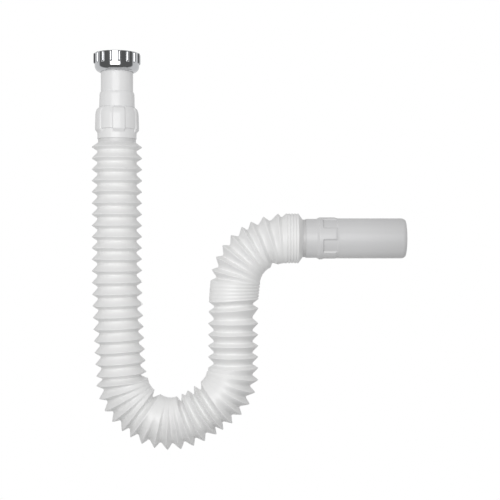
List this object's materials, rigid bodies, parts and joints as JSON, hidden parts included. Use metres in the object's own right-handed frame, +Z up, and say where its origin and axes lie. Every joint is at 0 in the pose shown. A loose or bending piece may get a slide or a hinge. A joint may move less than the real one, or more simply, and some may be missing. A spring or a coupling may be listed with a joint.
{
  "type": "flexible basin trap",
  "caption": "Flexible pleated basin trap with a coupling nut on a flanged tail, a water-seal bend and a plain outlet spigot.",
  "frame": {"origin": "on the inlet's axis, where the coupling thread starts above the washer, the seat of the basin waste", "axes": "+Z up the inlet's axis out of the nut's mouth, +X level along the outlet, +Y across the trap's plane"},
  "size_m": [0.3128, 0.052, 0.3957],
  "materials": {
    "chrome_plate": "bright plated plastic",
    "seal_rubber": "matte moulded rubber",
    "white_fitting": "smooth moulded plastic",
    "white_bellows": "satin blow-moulded plastic"
  },
  "bodies": {
    "inlet": {"inlet_tail": "white_fitting", "inlet_collar": "white_fitting", "inlet_gasket": "seal_rubber", "seal_washer": "seal_rubber"},
    "nut": {"coupling_nut": "chrome_plate"},
    "bellows": {"bellows": "white_bellows"},
    "outlet": {"outlet_spigot": "white_fitting", "outlet_gasket": "seal_rubber"}
  },
  "joints": [
    {"name": "nut_spin", "type": "hinge", "parent": "inlet", "child": "nut", "pos_m": [0, 0, 0], "axis": [0, 0, 1], "continuous": true},
    {"name": "leg_stretch", "type": "slide", "parent": "inlet", "child": "bellows", "axis": [0, 0, 1], "range_m": [0, 0.1], "deforming": ["bellows"]},
    {"name": "outlet_bend", "type": "hinge", "parent": "bellows", "child": "outlet", "pos_m": [0.16947, 0, -0.2216], "axis": [0, 1, 0], "range_deg": [-30, 40], "deforming": ["bellows"]}
  ]
}
